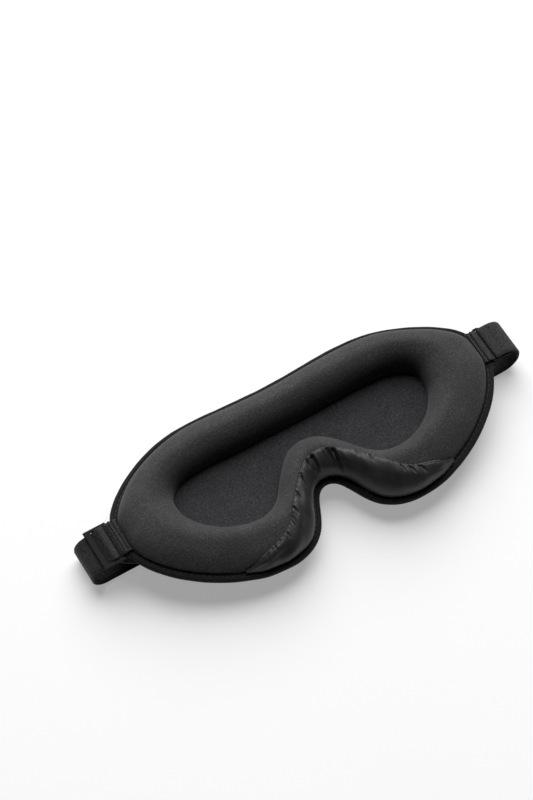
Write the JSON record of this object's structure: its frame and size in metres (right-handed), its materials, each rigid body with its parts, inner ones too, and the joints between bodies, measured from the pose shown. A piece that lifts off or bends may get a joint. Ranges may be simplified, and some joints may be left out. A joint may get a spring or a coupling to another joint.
{
  "type": "sleep eye mask",
  "caption": "Contoured sleep eye mask: a foam front with a padded ring round the eye cavity, a gathered nose flap, bound edge and an adjustable elastic strap folded underneath.",
  "frame": {"origin": "on the surface that the mask lies on, below the middle of the whole object", "axes": "+X along the mask to the ring end of the strap, +Y towards the forehead edge, +Z towards the wearer's face"},
  "size_m": [0.2622, 0.1001, 0.0321],
  "materials": {
    "front_knit": "matte brushed knit, near-black with a cool cast",
    "cushion_knit": "matte brushed knit, dark charcoal",
    "lining_knit": "matte fine knit, dark charcoal",
    "foam": "open-cell foam, soft",
    "binding": "ribbed binding tape, black",
    "thread": "twisted polyester thread, black",
    "webbing": "woven webbing, black",
    "elastic": "ribbed woven elastic, black",
    "hardware": "moulded plastic, black, satin",
    "satin": "smooth satin, dark grey, soft sheen",
    "wadding": "loose polyester wadding",
    "elastic_core": "thin flat elastic"
  },
  "bodies": {
    "mask": {"front_cover": "front_knit", "front_foam": "foam", "eye_lining": "lining_knit", "cushion_cover": "cushion_knit", "cushion_foam": "foam", "edge_binding": "binding", "binding_thread": "thread", "lining_thread": "thread", "nose_flap_thread": "thread", "strap_tab_left": "webbing", "strap_tab_right": "webbing", "bar_tack_left": "thread", "bar_tack_right": "thread", "elastic_strap": "elastic", "strap_fold_stitches": "thread"},
    "buckle": {"slider_buckle": "hardware"},
    "ring": {"strap_ring": "hardware"},
    "nose_flap": {"nose_flap_cover": "satin", "nose_flap_pad": "wadding", "nose_flap_elastic": "elastic_core"},
    "strap_end": {"strap_end_hem": "elastic", "strap_end_stitches": "thread"}
  },
  "joints": [
    {"name": "buckle_swing", "type": "hinge", "parent": "mask", "child": "buckle", "pos_m": [-0.1129, 0.0065, 0.01937], "axis": [0, 1, 0], "range_deg": [-60, 75], "deforming": ["elastic_strap"]},
    {"name": "ring_swing", "type": "hinge", "parent": "mask", "child": "ring", "pos_m": [0.1129, 0.0065, 0.01937], "axis": [0, -1, 0], "range_deg": [-60, 75], "deforming": ["elastic_strap"]},
    {"name": "nose_flap_lift", "type": "hinge", "parent": "mask", "child": "nose_flap", "pos_m": [0, -0.034, 0.013], "axis": [1, 0, 0], "range_deg": [0, 40], "deforming": ["nose_flap_cover", "nose_flap_pad"]},
    {"name": "strap_adjust", "type": "slide", "parent": "mask", "child": "strap_end", "axis": [1, 0, 0], "range_m": [0, 0.045], "deforming": ["elastic_strap"]}
  ]
}
